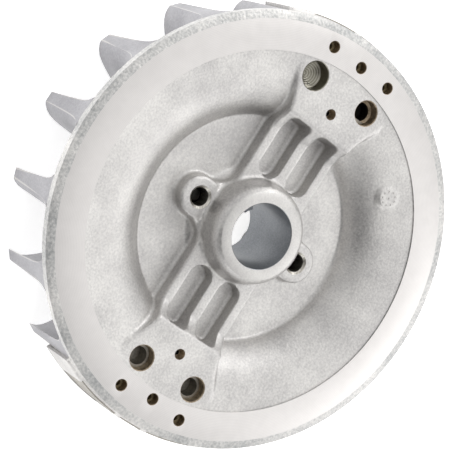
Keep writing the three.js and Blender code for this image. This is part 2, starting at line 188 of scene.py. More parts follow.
# The blades' outer ends are turned together with the rim: a real turned finish, made lighter than the blade
# sides as painted light on the ends.
turnedLitEdge = grainyMetal("aluminium_turned_edge_painted_light", dict(dieCast, light="#d0cecc", dark="#bab8b7", grain=0.35,
                                                       grainDepth=0.02), 0.85)
# Bored aluminium: a smooth, cool grey, darkened as painted shade and painted reflection for the inside of the
# bore.
shadedBoreWall = grainyMetal("aluminium_bored_painted_shade", dict(dieCast, light="#999ca0", dark="#7c7f83", grain=0.4,
                                                grainDepth=0.012, smooth=0.3, rough=0.4))
# The hub's end is faced with a worn tool: duller than the ring, close to the skin in colour.
hubFaced = grainyMetal("aluminium_hub_faced", dict(dieCast, light="#d6d4d1", dark="#c0bebc", grain=0.35,
                                                   grainDepth=0.02), 0.85)
# Drilled aluminium with coarse tool rings: bright metal, made brighter still as painted glints on the hole
# walls.
drilledGlintWall = latheFaced("aluminium_drilled_painted_glint", dict(faced, light="#e2dfd8", dark="#b5b1a8", feed=0.5))
# Holes left by core pins: tan to brown, matt, as painted shade on the hole walls.
shadedHoleWall = grainyMetal("aluminium_hole_painted_shade", {"light": "#c4b49c", "dark": "#7d6f5e", "mottle": 1.6,
                                                  "grain": 0.5, "grainDepth": 0.04, "smooth": 0.4,
                                                  "rough": 0.65}, 0.9)
# The deep ends of those holes: black and dull, as painted shade.
deepHoleShade = grainyMetal("aluminium_deep_hole_painted_shade", {"light": "#2c2723", "dark": "#141110", "mottle": 1,
                                              "grain": 0.3,
                                              "grainDepth": 0.03, "smooth": 0.55, "rough": 0.8}, 0.5)
# Silicon steel sheets, ground to the rotor's radius: warm grey, with a straw tint where varnish is left.
coreSteel = grainyMetal("silicon_steel_sheared", {"light": "#b6b2aa", "dark": "#85817a", "mottle": 4,
                                                  "grain": 0.4, "grainDepth": 0.02, "smooth": 0.35,
                                                  "rough": 0.6})
# Sintered ferrite: nearly black, matt and stony.
ferrite = grainyMetal("ferrite_sintered", {"light": "#3a3a3d", "dark": "#1d1d20", "mottle": 3, "grain": 0.5,
                                           "grainDepth": 0.04, "smooth": 0.6, "rough": 0.85}, 0)
# Mild steel rivets with a brown film from the hot casting round them.
rivetSteel = grainyMetal("steel_rivet_browned", {"light": "#a59a7e", "dark": "#6a5e48", "mottle": 1.2,
                                                 "grain": 0.35, "grainDepth": 0.02, "smooth": 0.4,
                                                 "rough": 0.65}, 0.9)
# Case-hardened pawl steel, tumbled: warm mid grey with a soft shine.
pawlSteel = grainyMetal("steel_case_hardened", {"light": "#8b8780", "dark": "#5f5c57", "mottle": 3,
                                                "grain": 0.4, "grainDepth": 0.015, "smooth": 0.3,
                                                "rough": 0.5})
# Black oxide on alloy steel: brown-black with a low oily shine.
blackSteel = grainyMetal("steel_black_oxide", {"light": "#34322f", "dark": "#191817", "mottle": 2,
                                               "grain": 0.3, "grainDepth": 0.01, "smooth": 0.3,
                                               "rough": 0.5}, 0.9)
# Hard-drawn spring wire: smooth, bright grey.
springWire = grainyMetal("steel_spring_wire", {"light": "#b4b4b4", "dark": "#84858a", "mottle": 2,
                                               "grain": 0.3, "grainDepth": 0.005, "smooth": 0.22,
                                               "rough": 0.38})
print("materials made")


def polar(radius, angle):
    return radius * math.cos(math.radians(angle)), radius * math.sin(math.radians(angle))


def arc(centre, radius, start, end, steps=24):
    angles = [start + (end - start) * i / steps for i in range(steps + 1)]
    return [(centre[0] + polar(radius, a)[0], centre[1] + polar(radius, a)[1]) for a in angles]


def bezier(a, b, c, d, steps=16):
    points = []
    for i in range(steps + 1):
        t = i / steps
        s = 1 - t
        points.append([s**3 * a[k] + 3 * s * s * t * b[k] + 3 * s * t * t * c[k] + t**3 * d[k] for k in (0,
                                                                                                         1)])
    return points


def turnedBody(profile, steps=160):  # a [radius, z] profile turned about Z
    bm = bmesh.new()
    verts = [bm.verts.new((radius, 0, z)) for radius, z in profile]
    edges = [bm.edges.new(pair) for pair in zip(verts, verts[1:] + verts[:1]) if max(pair[0].co.x,
                                                                                     pair[1].co.x)]
    bmesh.ops.spin(bm, geom=verts + edges, axis=(0, 0, 1), angle=2 * math.pi, steps=steps, use_merge=True)
    bmesh.ops.remove_doubles(bm, verts=bm.verts, dist=1e-4)
    bmesh.ops.recalc_face_normals(bm, faces=bm.faces)
    return bm


def plateBody(outline, bottom, *tops):  # an [x, y] outline raised to one or more heights
    bm = bmesh.new()
    face = bm.faces.new([bm.verts.new((x, y, bottom)) for x, y in outline])
    for height in tops:
        made = bmesh.ops.extrude_face_region(bm, geom=[face])["geom"]
        if height != tops[0]:
            bmesh.ops.delete(bm, geom=[face], context="FACES_ONLY")
        face = next(f for f in made if isinstance(f, bmesh.types.BMFace))
        for v in face.verts:
            v.co.z = height
    bmesh.ops.recalc_face_normals(bm, faces=bm.faces)
    return bm


def rodBody(x, y, radius, bottom, top, steps=48, topRadius=None):
    bm = bmesh.new()
    bmesh.ops.create_cone(bm, cap_ends=True, segments=steps, radius1=radius, radius2=topRadius or radius,
                          depth=top - bottom, matrix=Matrix.Translation((x, y, (bottom + top) / 2)))
    return bm


def boxBody(low, high):
    size = Vector(high) - Vector(low)
    bm = bmesh.new()
    middle = (Vector(low) + Vector(high)) / 2
    bmesh.ops.create_cube(bm, matrix=Matrix.Translation(middle) @ Matrix.Diagonal((*size, 1)))
    return bm


def moved(bm, matrix):
    bmesh.ops.transform(bm, matrix=matrix, verts=bm.verts)
    return bm


def shifted(bm, x, y, z=0):
    return moved(bm, Matrix.Translation((x, y, z)))


def spun(bm, angle):
    return moved(bm, Matrix.Rotation(math.radians(angle), 4, "Z"))


def bothHalves(bm):  # the body and its copy half a turn on
    twin = bmesh.ops.duplicate(bm, geom=bm.verts[:] + bm.edges[:] + bm.faces[:])["geom"]
    bmesh.ops.rotate(bm, matrix=Matrix.Rotation(math.pi, 3, "Z"),
                     verts=[v for v in twin if isinstance(v, bmesh.types.BMVert)])
    return bm


def joined(bodies):
    mesh = bpy.data.meshes.new("joined")
    total = bmesh.new()
    for body in bodies:
        body.to_mesh(mesh)
        body.free()
        total.from_mesh(mesh)
    bpy.data.meshes.remove(mesh)
    return total


def workObject(name, body, *materials):
    mesh = bpy.data.meshes.new(name)
    body.to_mesh(mesh)
    body.free()
    for material in materials:
        mesh.materials.append(material)
    thing = bpy.data.objects.new(name, mesh)
    scene.collection.objects.link(thing)
    return thing


def applyModifiers(thing):
    graph = bpy.context.evaluated_depsgraph_get()
    mesh = bpy.data.meshes.new_from_object(thing.evaluated_get(graph))
    thing.modifiers.clear()
    old = thing.data
    thing.data = mesh
    bpy.data.meshes.remove(old)


def combine(thing, tools, operation="DIFFERENCE"):
    for tool in tools:
        step = thing.modifiers.new("cut", "BOOLEAN")
        step.operation = operation
        step.solver = "MANIFOLD"
        step.material_mode = "TRANSFER"
        step.object = tool
        tool.hide_render = True
    applyModifiers(thing)
    for tool in tools:
        bpy.data.objects.remove(tool)


def finishPiece(thing, body, nodes, sharp=35):
    mesh = thing.data
    mesh.transform(Matrix.Scale(mm, 4))
    mesh.shade_smooth()
    mesh.set_sharp_from_angle(angle=math.radians(sharp))
    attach(thing, body)
    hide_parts(*nodes)
    return thing


# The casting as it leaves the die, then its machined faces.
disc = {"ringInner": 40.4, "ringOuter": 47.14, "ringFace": 23, "ringFloor": 20.6, "rimEdge": 22.45,
        "bowlRim": 22.7,
        "back": 19.9, "webRadius": 25.6, "web": 15.8, "webBack": 11.8, "webBackRadius": 24.5, "skin": 0.5}
hub = {"root": 12.3, "flankTop": 22.3, "crown": 25.8, "crownRadius": 8.9, "nose": 7.4,
       "noseRadius": 10.3, "noseTop": 9.7}
bridge = {"start": 7, "end": 25.6, "halfWidth": 9.35, "top": 19.5, "bottom": 12.2, "pocketStart": 11.85,
          "pocketEnd": 26, "pocketNear": 1.26, "pocketFar": 7, "pocketFloor": 15.9,
          "pocketCorner": 2.6, "endCorner": 1.2}
pad = {"top": 22.6, "bottom": 14, "start": 20, "end": 40.8, "rampStart": 22.2, "rampEnd": 26.4,
       "rampCurve": 1.4,
       "flareStart": 26, "flareEnd": 36, "flare": 3.4, "taper": 0.15, "cuts": 40}
boss = {"radius": 4.7, "top": 19.4, "neckTop": 18.8, "fillet": 5, "hole": 2.1, "sink": 0.5, "fanEnd": 9.8,
        "fanRadius": 5.2}
block = {"angle": 25.3, "inner": 29, "neck": 10, "shoulder": 32, "shoulderHalf": 12.4, "bottom": 7.6,
         "top": 20.2}
blade = {"count": 17, "first": 46.6, "inner": 27, "tip": 2.4, "root": 4.4, "flare": 1.3, "flareHeight": 1.5,
         "hook": 2.7, "hookLength": 1.6, "lean": 0.1, "slopeRadius": 33, "slopeHeight": 5.5}
dateDisc = {"radius": 2.4, "reach": 34.4, "angle": -46, "height": 0.35, "lessTilt": 6, "marks": 9,
            "markRing": 1.6,
            "mark": 0.28, "markDepth": 0.12}
castSkin = {"voxel": 0.36, "smoothing": 3, "keep": 0.36}  # voxel size in mm, then the share of faces kept


def dishBack():
    return bezier((disc["webBackRadius"], disc["webBack"]), (30, 12.2), (33, 19), (41, disc["back"]))


def dishFront():
    return bezier((disc["ringInner"], disc["bowlRim"]), (34, 21.9), (28.6, 21.6),
                  (disc["webRadius"], disc["web"]))


def dateDiscPlace():  # on the bowl's slope, its Z along the slope's normal
    above, below = next(pair for pair in zip(dishFront(), dishFront()[1:]) if pair[1][0] < dateDisc["reach"])
    lean = math.degrees(math.atan2(above[1] - below[1], above[0] - below[0])) - dateDisc["lessTilt"]
    return (Matrix.Rotation(math.radians(dateDisc["angle"]), 4, "Z")
            @ Matrix.Translation(((above[0] + below[0]) / 2, 0, (above[1] + below[1]) / 2))
            @ Matrix.Rotation(math.radians(-lean), 4, "Y"))


def dateMarks():  # a ring of plain dots round a centre dot
    d = dateDisc
    spots = [(0, 0)] + [polar(d["markRing"], 360 * i / d["marks"]) for i in range(d["marks"])]
    dots = joined([rodBody(x, y, d["mark"], d["height"] - d["markDepth"], d["height"] + 1, 12) for x,
                   y in spots])
    return workObject("dateMarks", moved(dots, dateDiscPlace()), aluminium)


def discStock():
    front = dishFront()
    shoulder = bezier((hub["crownRadius"], hub["crown"]), (10.6, 25.2), (11.2, 24.2),
                      (11.35, hub["flankTop"]), 8)
    return turnedBody([
        (0, hub["nose"] - disc["skin"]), (hub["noseRadius"], hub["nose"] - disc["skin"]),
        (hub["noseRadius"], hub["noseTop"]), (hub["root"], disc["webBack"]), *dishBack(),
        (rimRadius, disc["back"]), (rimRadius, disc["rimEdge"] - 0.2), (disc["ringOuter"], disc["bowlRim"]),
        *front, (hub["root"] + 1.6, disc["web"]), (hub["root"] - 0.1, disc["web"] + 1.2), *shoulder[::-1],
        (0, hub["crown"])], 128)


def bladeAngle(radius):  # nearly radial, with a hook at the outer end
    depth = rimRadius - radius
    return blade["hook"] * (1 - math.exp(-depth / blade["hookLength"])) + blade["lean"] * depth


def bladeBody(start):
    root = blade["inner"] - 1
    radii = [root + (rimRadius - root) * (1 - (1 - i / 12) ** 1.6) for i in range(13)]
    height = disc["back"] + 0.4
    levels = [height * (1 - (1 - i / 10) ** 2) for i in range(1, 11)]
    outline = [(r, -1) for r in radii] + [(r, 1) for r in reversed(radii)]
    bm = plateBody(outline, -1, *levels)
    for v in bm.verts:
        radius, side = v.co.x, v.co.y
        thickness = blade["tip"] + (blade["root"] - blade["tip"]) * max(v.co.z, 0) / height
        thickness += 2 * blade["flare"] * math.exp(-(height - v.co.z) / blade["flareHeight"])
        swing = bladeAngle(radius) + math.degrees(side * thickness / 2 / radius)
        v.co.x, v.co.y = polar(radius, start + swing)
    return bm


def bladeRing():
    step = 360 / blade["count"]
    ring = workObject("blades",
                      joined([bladeBody(blade["first"] + i * step) for i in range(blade["count"])]), shadedFanSkin)
    under = [(radius, z + 0.9) for radius, z in dishBack()]
    space = workObject("space", turnedBody([
        (blade["inner"] - 3, blade["slopeHeight"] + 3), (blade["inner"], blade["slopeHeight"]),
        (blade["slopeRadius"], -disc["skin"]), (rimRadius, -disc["skin"]), (rimRadius, disc["back"] + 0.4),
        *under[::-1]]), shadedFanSkin, turnedLitEdge)
    # Outer end faces take the lighter turned material (painted light), the rest the darker blade skin
    # (painted shade).
    for face in space.data.polygons:
        face.material_index = int(math.hypot(*face.center.xy) > rimRadius - 0.5 and abs(face.normal.z) < 0.1)
    combine(ring, [space], "INTERSECT")
    return ring


def bossNeck():  # a round lobe that flares into the bridge's side with a fillet on each side
    rise = bridge["halfWidth"] + boss["fillet"]
    reach = math.sqrt((boss["radius"] + boss["fillet"]) ** 2 - (pivot - rise) ** 2)
    tilt = math.degrees(math.atan2(pivot - rise, reach))
    outline = arc((reach, rise), boss["fillet"], 270, 180 - tilt)
    outline += arc((0, pivot), boss["radius"], -tilt, 180 + tilt)
    outline += arc((-reach, rise), boss["fillet"], tilt, -90)
    outline += [(-reach, bridge["start"]), (reach, bridge["start"])]
    return plateBody(outline, bridge["bottom"], boss["neckTop"])


def share(x, start, end):  # how far x is from start to end, from 0 to 1
    return min(max((x - start) / (end - start), 0), 1)


def padBody():  # the bridge's end swells in a soft S on each side and ramps up to the pad's flat top
    bm = boxBody((pad["start"], -1, 0), (pad["end"], 1, 1))
    along = [e for e in bm.edges if abs(e.verts[0].co.x - e.verts[1].co.x) > 1]
    bmesh.ops.subdivide_edges(bm, edges=along, cuts=pad["cuts"], use_grid_fill=True)
    for v in bm.verts:
        swell = share(v.co.x, pad["flareStart"], pad["flareEnd"])
        v.co.y *= (bridge["halfWidth"] + pad["flare"] * swell * swell * (3 - 2 * swell)
                   + pad["taper"] * max(v.co.x - pad["flareEnd"], 0))
        climb = share(v.co.x, pad["rampStart"], pad["rampEnd"]) ** pad["rampCurve"]
        v.co.z = bridge["top"] + (pad["top"] - bridge["top"]) * climb if v.co.z > 0.5 else pad["bottom"]
    return bm


def packBlock():
    low, high = -block["angle"], block["angle"]
    inner, shoulder, neck, half = block["inner"], block["shoulder"], block["neck"], block["shoulderHalf"]
    outline = arc((0, 0), blockRadius, low, high, 40) + [(shoulder, half), (inner, neck), (inner, -neck),
                                                         (shoulder, -half)]
    return plateBody(outline, block["bottom"], block["top"])


def pocketTool(side):
    near, far = sorted((side * bridge["pocketNear"], side * bridge["pocketFar"]))
    start, corner = bridge["pocketStart"], bridge["pocketCorner"]
    end, tight = bridge["pocketEnd"], bridge["endCorner"]
    outline = arc((start + corner, near + corner), corner, 180, 270, 10)
    outline += arc((end - tight, near + tight), tight, 270, 360, 8) + arc((end - tight, far - tight), tight,
                                                                          0, 90, 8)
    outline += arc((start + corner, far - corner), corner, 90, 180, 10)
    return plateBody(outline, bridge["pocketFloor"], pad["top"] + past)


pawl = {"aim": 222, "swing": 28, "eye": 4.6, "bore": 3.05, "reach": 12.6, "tail": 7, "armRoot": 3.1,
        "armTip": 1.5,
        "tailHalf": 1.7, "edge": 0.3}
post = {"radius": 1.5, "bottom": 4, "clearance": 0.25, "tailReach": 6, "armReach": 11.2, "armHalf": 1.75}


def postBody(reach, side, half, aim):
    x, y = polar(reach, aim)
    aside = polar(side * (half + post["clearance"] + post["radius"]), aim + 90)
    return rodBody(x + aside[0], pivot + y + aside[1], post["radius"], post["bottom"], disc["webBack"] + 1,
                   32)


def stopPosts():  # on the fan side: one meets the pawl's tail at rest, the other its arm when thrown out
    return [postBody(post["tailReach"], 1, pawl["tailHalf"], pawl["aim"] - 180),
            postBody(post["armReach"], -1, post["armHalf"], pawl["aim"] - pawl["swing"])]


def castBodies():
    bodies = [discStock()]
    halves = [boxBody((bridge["start"], -bridge["halfWidth"], bridge["bottom"]),
                      (bridge["end"] + 1, bridge["halfWidth"], bridge["top"])),
              padBody(), packBlock(), bossNeck(),
              rodBody(0, pivot, boss["radius"], 14, boss["top"], 64),
              rodBody(0, pivot, boss["fanRadius"], boss["fanEnd"] - disc["skin"], 13, 64), *stopPosts()]
    bodies += [bothHalves(body) for body in halves]
    bodies.append(moved(rodBody(0, 0, dateDisc["radius"], -2, dateDisc["height"]), dateDiscPlace()))
    return bodies


def castStock():
    pockets = workObject("pockets", joined([bothHalves(pocketTool(-1)), bothHalves(pocketTool(1))]))
    stock = workObject("rotor_body", joined(castBodies()))
    skin = stock.modifiers.new("skin", "REMESH")
    skin.mode = "VOXEL"
    skin.voxel_size = castSkin["voxel"]
    applyModifiers(stock)
    combine(stock, [pockets])
    skin = stock.modifiers.new("skin", "REMESH")
    skin.mode = "VOXEL"
    skin.voxel_size = castSkin["voxel"]
    soft = stock.modifiers.new("soft", "SMOOTH")
    soft.factor = 0.5
    soft.iterations = castSkin["smoothing"]
    fewer = stock.modifiers.new("fewer", "DECIMATE")
    fewer.ratio = castSkin["keep"]
    applyModifiers(stock)
    stock.data.materials.clear()
    stock.data.materials.append(aluminium)
    combine(stock, [bladeRing()], "UNION")
    return stock


hole = {"cores": [(36, -7.5), (-36, -7.5), (-36, 7.5)], "coreRadius": 2.8, "coreStep": 20.4, "coreLower": 2.1,
        "coreFloor": 16.8,
        "rivetRadius": 1.3, "balanceX": 35.8, "balanceY": 8.4, "balanceRadius": 3.2,
        "balanceFloor": 19.2, "balancePoint": 17.3, "dimpleX": 31, "dimpleRadius": 1.1,
        "dimpleDepth": 1.9, "edge": 0.2,
        "pitRadius": 0.6, "pitDepth": 2.6}
balanceWall = latheFaced("aluminium_balance_drilled", dict(faced, light="#bfbcb0", dark="#827e72", feed=0.45,
                                                           feedDepth=0.02, centre=(hole["balanceX"],
                                                                                   hole["balanceY"], 0)))
springSeat = {"inner": 3, "outer": 4.3, "depth": 1.3}
bore = {"mouth": 7.35, "taper": 0.05, "chamfer": 0.1, "keyAngle": 55, "keyWidth": 2, "keyHeight": 1.5,
        "keyTop": 24.2,
        "keyRunOut": 2.4}


def drilled(x, y, profile, steps=48):
    return shifted(turnedBody(profile, steps), x, y)


def boreRadius(z):
    return bore["mouth"] - bore["taper"] * (hubFace - z)


def holeTools():
    edge = hole["edge"]
    top = pad["top"]
    face = disc["ringFace"]
    cores = [drilled(x, y, [
        (0, hole["coreStep"] - 0.4), (hole["coreLower"], hole["coreStep"] - 0.4),
        (hole["coreRadius"] - 0.15, hole["coreStep"]), (hole["coreRadius"], top - edge),
        (hole["coreRadius"] + edge, top), (hole["coreRadius"] + edge, top + past), (0, top + past)])
        for x, y in hole["cores"]]
    rivets = [drilled(spot.x, spot.y, [
        (0, rivetTop - past), (hole["rivetRadius"], rivetTop - past), (hole["rivetRadius"], face - 0.1),
        (hole["rivetRadius"] + 0.1, face), (hole["rivetRadius"] + 0.1, face + past), (0, face + past)], 32)
        for spot in poleRivets + counterRivets]
    deep = [rodBody(x, y, hole["coreLower"], hole["coreFloor"], hole["coreStep"]) for x, y in hole["cores"]]
    deep.append(bothHalves(rodBody(hole["dimpleX"], 0, hole["pitRadius"], top - hole["pitDepth"], top - 1,
                                   20)))
    return [workObject("cores", joined(cores), shadedHoleWall), workObject("deepEnds", joined(deep),
                                                                         deepHoleShade),
            workObject("rivetHoles", joined(rivets), shadedHoleWall)]


def balanceTool():  # drilled to balance the wheel, with the drill's blunt cone at the bottom
    return workObject("balance", drilled(hole["balanceX"], hole["balanceY"], [
        (0, hole["balancePoint"]), (hole["balanceRadius"], hole["balanceFloor"]),
        (hole["balanceRadius"], pad["top"] - hole["edge"]), (hole["balanceRadius"] + hole["edge"],
                                                             pad["top"]),
        (hole["balanceRadius"] + hole["edge"], pad["top"] + past), (0, pad["top"] + past)]), balanceWall)


iron = {"poleHalf": 2.9, "poleRoot": 34.2, "combRoot": 39.6, "shoeNear": 4.6, "sheets": 3, "gap": 0.03,
        "burr": 0.05}
yokeLow, yokeHigh = boxOf("centre_pole_plate_1")
shoeLow, shoeHigh = boxOf("leading_pole_plate_1")
combLow, combHigh = boxOf("counterweight_plate_1")
stackFloor, stackTop = yokeLow.z, boxOf("centre_pole_plate_6")[1].z


def outerArc(low, high, radius):  # the ground pole face between two heights above the X axis
    return arc((0, 0), radius, math.degrees(math.asin(low / radius)), math.degrees(math.asin(high / radius)),
               10)


def teeOutline(grow=0, radius=yokeHigh.x):
    start = yokeLow.x - grow
    root = iron["poleRoot"] + grow
    wide = yokeHigh.y + grow
    half = iron["poleHalf"] + grow
    return [(start, -wide), (root, -wide), (root, -half), *outerArc(-half, half, radius), (root, half),
            (root, wide), (start, wide)]


def shoeOutline(side, grow=0, radius=yokeHigh.x):
    near, far = shoeLow.y - grow, shoeHigh.y + grow
    outline = [(shoeLow.x - grow, near), *outerArc(near, far, radius), (shoeLow.x - grow, far)]
    return outline if side > 0 else [(x, -y) for x, y in reversed(outline)]


def combOutline(grow=0, radius=yokeHigh.x):
    start = -combHigh.x - grow
    root = iron["combRoot"] + grow
    wide = combHigh.y + grow
    half = iron["poleHalf"] + grow
    near = iron["shoeNear"] - grow
    return [(start, -wide), *outerArc(-wide, -near, radius), (root, -near), (root, -half),
            *outerArc(-half, half, radius), (root, half), (root, near), *outerArc(near, wide,
                                                                                  radius), (start, wide)]


def packTools():  # the casting is poured round the iron, so the cavities follow it closely
    grow = iron["gap"]
    low, high = stackFloor - grow, stackTop + grow
    outer = blockRadius + past
    bodies = [plateBody(teeOutline(grow, outer), low, high), spun(plateBody(combOutline(grow, outer), low,
                                                                            high), 180)]
    bodies += [plateBody(shoeOutline(side, grow, outer), low, high) for side in (-1, 1)]
    for node in ("leading_magnet", "trailing_magnet"):
        low, high = boxOf(node)
        bodies.append(boxBody(low - Vector([grow] * 3), high + Vector([grow] * 3)))
    heads = [drilled(spot.x, spot.y, [(0, rivetFloor - grow), (rivet["head"] + grow, rivetFloor - grow),
                                      (rivet["head"] + grow, rivetTop + grow), (0, rivetTop + grow)], 32)
             for spot in poleRivets + counterRivets]
    return [workObject("cavities", joined(bodies), aluminium), workObject("heads", joined(heads), aluminium)]


rivet = {"head": 1.85, "shank": 1.15, "hollow": 0.6, "hollowDepth": 1.1}


def machiningTools():
    above = workObject("hubTop", turnedBody([(0, hubFace), (13, hubFace), (13, hubFace + past),
                                             (0, hubFace + past)]),
                       hubFaced)
    below = workObject("hubNose", turnedBody([(0, hub["nose"]), (11, hub["nose"]), (11, hub["nose"] - past),
                                              (0, hub["nose"] - past)]), turnedFace)
    tips = workObject("tips", turnedBody([(20, 0), (52, 0), (52, -past), (20, -past)]), aluminium)
    bossEnds = workObject("bossEnds", bothHalves(rodBody(0, pivot, 5.9, boss["fanEnd"] - past,
                                                         boss["fanEnd"])),
                          drilledGlintWall)
    cone = workObject("cone", turnedBody([
        (0, hub["nose"] - past), (boreRadius(hub["nose"] - past), hub["nose"] - past),
        (boreRadius(hubFace - bore["chamfer"]), hubFace - bore["chamfer"]),
        (bore["mouth"] + bore["chamfer"], hubFace), (bore["mouth"] + bore["chamfer"], hubFace + past),
        (0, hubFace + past)]), shadedBoreWall)
    rib = boxBody((4, -bore["keyWidth"] / 2, hub["nose"] - past - 1),
                  (8, bore["keyWidth"] / 2, bore["keyTop"]))
    for v in rib.verts:
        if v.co.x < 5 and v.co.z > hub["nose"]:
            v.co.z -= bore["keyRunOut"]
    inner = [(0, hub["nose"] - past - 1.5), (boreRadius(hub["nose"]) - bore["keyHeight"],
                                             hub["nose"] - past - 1.5),
             (boreRadius(hubFace) - bore["keyHeight"], hubFace + 0.5), (0, hubFace + 0.5)]
    ribTool = workObject("rib", spun(rib, bore["keyAngle"]), shadedBoreWall)
    combine(ribTool, [workObject("inner", turnedBody(inner))])
    combine(cone, [ribTool])
    bossHoles = workObject("bossHoles", bothHalves(drilled(0, pivot, [
        (0, boss["fanEnd"] - past), (boss["hole"], boss["fanEnd"] - past), (boss["hole"],
                                                                            boss["top"] - boss["sink"]),
        (boss["hole"] + boss["sink"], boss["top"]), (boss["hole"] + boss["sink"], boss["top"] + past),
        (0, boss["top"] + past)])),
        drilledGlintWall)
    dimples = workObject("dimples", bothHalves(drilled(hole["dimpleX"], 0, [
        (0, pad["top"] - hole["dimpleDepth"]), (hole["dimpleRadius"] * 0.6,
                                                pad["top"] - hole["dimpleDepth"] + 0.2),
        (hole["dimpleRadius"], pad["top"] - 0.5), (hole["dimpleRadius"] + 0.15,
                                                   pad["top"]), (hole["dimpleRadius"] + 0.15,
                                                                 pad["top"] + past),
        (0, pad["top"] + past)], 32)), shadedHoleWall)
    seats = workObject("seats", bothHalves(drilled(0, pivot, [
        (springSeat["inner"], boss["fanEnd"] - past), (springSeat["outer"], boss["fanEnd"] - past),
        (springSeat["outer"], boss["fanEnd"] + springSeat["depth"]),
        (springSeat["inner"], boss["fanEnd"] + springSeat["depth"])])), drilledGlintWall)
    return [above, below, tips, bossEnds, cone, bossHoles, balanceTool(), dimples, seats, dateMarks(),
            *packTools(),
            *holeTools()]


def rotorCasting():
    stock = castStock()
    print("casting skinned,", len(stock.data.polygons), "faces")
    ring = workObject("ring", turnedBody([
        (disc["ringInner"], disc["ringFloor"]), (disc["ringInner"], disc["ringFace"]),
        (disc["ringOuter"], disc["ringFace"]), (rimRadius, disc["rimEdge"]), (rimRadius,
                                                                              disc["ringFloor"])], 240),
        turnedFace, rimSkin)
    for face in ring.data.polygons:
        face.material_index = 0 if face.normal.z > 0.99 else 1
    combine(stock, [ring], "UNION")
    combine(stock, machiningTools())
    print("casting machined,", len(stock.data.polygons), "faces")
    return finishPiece(stock, "rotor", ["rotor_casting"])


def ironPacket(name, outline, node, spots, flip=False):  # three sheets stand for each plate of the model
    low, high = boxOf(node)
    sheet = (high.z - low.z) / iron["sheets"]
    sheets = []
    for i in range(iron["sheets"]):
        floor = low.z + i * sheet
        bm = plateBody(outline, floor + iron["burr"] / 2, floor + sheet - iron["burr"] / 2)
        bmesh.ops.bevel(bm, geom=[e for e in bm.edges if e.verts[0].co.z == e.verts[1].co.z],
                        offset=iron["burr"],
                        affect="EDGES", segments=1, profile=0.5, material=-1)
        sheets.append(spun(bm, 180) if flip else bm)
    packet = workObject(name, joined(sheets), coreSteel)
    holes = [rodBody(spot.x, spot.y, rivet["shank"] + 0.05, low.z - past, high.z + past,
                     32) for spot in spots]
    if flip and low.z > hole["coreFloor"]:
        holes += [rodBody(x, y, hole["coreLower"], low.z - past, high.z + past, 32) for x,
                  y in hole["cores"][1:]]
    tools = [workObject("holes", joined(holes), coreSteel)]
    if not flip and high.z > hole["balancePoint"]:
        tools.append(balanceTool())
    combine(packet, tools)
    return finishPiece(packet, "rotor", [node])


def ironPacks():
    for i in range(1, 7):
        ironPacket(f"centre_pole_laminations_{i}", teeOutline(), f"centre_pole_plate_{i}", poleRivets)
        for name, side in (("leading", 1), ("trailing", -1)):
            ironPacket(f"{name}_pole_laminations_{i}", shoeOutline(side), f"{name}_pole_plate_{i}",
                       poleRivets)
        ironPacket(f"counterweight_laminations_{i}", combOutline(), f"counterweight_plate_{i}",
                   counterRivets, True)
    for node in ("leading_magnet", "trailing_magnet"):
        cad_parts[node].material_slots[0].material = ferrite


def tubularRivet(name, node):  # a round head below and a rolled, hollow end above
    spot = middleOf(node)
    head, shank, hollow = rivet["head"], rivet["shank"], rivet["hollow"]
    body = drilled(spot.x, spot.y, [
        (0, rivetFloor), (head * 0.7, rivetFloor), (head, rivetFloor + 0.25), (head, stackFloor - 0.02),
        (shank, stackFloor - 0.02), (shank, stackTop + 0.02), (head, stackTop + 0.02), (head * 0.93,
                                                                                        rivetTop - 0.1),
        (hollow + 0.45, rivetTop), (hollow + 0.12, rivetTop - 0.1), (hollow, rivetTop - 0.3),
        (hollow, rivetTop - rivet["hollowDepth"]), (0, rivetTop - rivet["hollowDepth"] - 0.15)], 40)
    finishPiece(workObject(name, body, rivetSteel), "rotor", [node])


def pawlOutline():
    eye, tail = pawl["eye"], pawl["tailHalf"]
    rootAngle, tailAngle = (math.degrees(math.asin(half / eye)) for half in (pawl["armRoot"], tail))
    reach, tip = pawl["reach"], pawl["armTip"]
    outline = arc((0, 0), eye, rootAngle, 180 - tailAngle, 20)
    outline += arc((tail - pawl["tail"], 0), tail, 90, 270, 10)
    outline += arc((0, 0), eye, 180 + tailAngle, 360 - rootAngle, 20)
    low = polar(eye, -rootAngle)
    outline += bezier(low, (reach * 0.5, -pawl["armRoot"]), (reach * 0.7, -2.6), (reach - 0.8, -tip), 8)[1:]
    outline += bezier((reach, tip + 0.9), (reach * 0.8, tip + 0.7), (reach * 0.6, 2.1),
                      polar(eye, rootAngle), 8)[:-1]
    return outline


def pawlPlace(number):
    side = 180 * (number - 1)
    return (Matrix.Rotation(math.radians(side), 4, "Z") @ Matrix.Translation((0, pivot, 0))
            @ Matrix.Rotation(math.radians(pawl["aim"]), 4, "Z"))


def starterPawl(number):
    node = f"starter_pawl_{number}"
    floor, top = (corner.z for corner in boxOf(node))
    edge = pawl["edge"]
    bm = plateBody(pawlOutline(), floor, top)
    bmesh.ops.bevel(bm, geom=[e for e in bm.edges if e.verts[0].co.z == e.verts[1].co.z], offset=edge,
                    affect="EDGES", segments=3, profile=0.5, material=-1, clamp_overlap=True)
    body = workObject(f"pawl_{number}_forging", bm, pawlSteel)
    eye = turnedBody([(0, floor - past), (pawl["bore"] + edge, floor - past), (pawl["bore"] + edge, floor),
                      (pawl["bore"], floor + edge), (pawl["bore"], top - edge), (pawl["bore"] + edge, top),
                      (pawl["bore"] + edge, top + past), (0, top + past)], 64)
    combine(body, [workObject("eye", eye, pawlSteel)])
    body.data.transform(pawlPlace(number))
    finishPiece(body, f"pawl_{number}", [node])


spring = {"radius": 3.6, "wire": 0.33, "bottom": 7.5, "pitch": 0.85, "turns": 2, "tangTop": 10.7,
          "perTurn": 16,
          "leg": [(4.3, -2.4, 7.5), (5.8, -3.8, 7.5), (6.2, -4, 5.4)]}


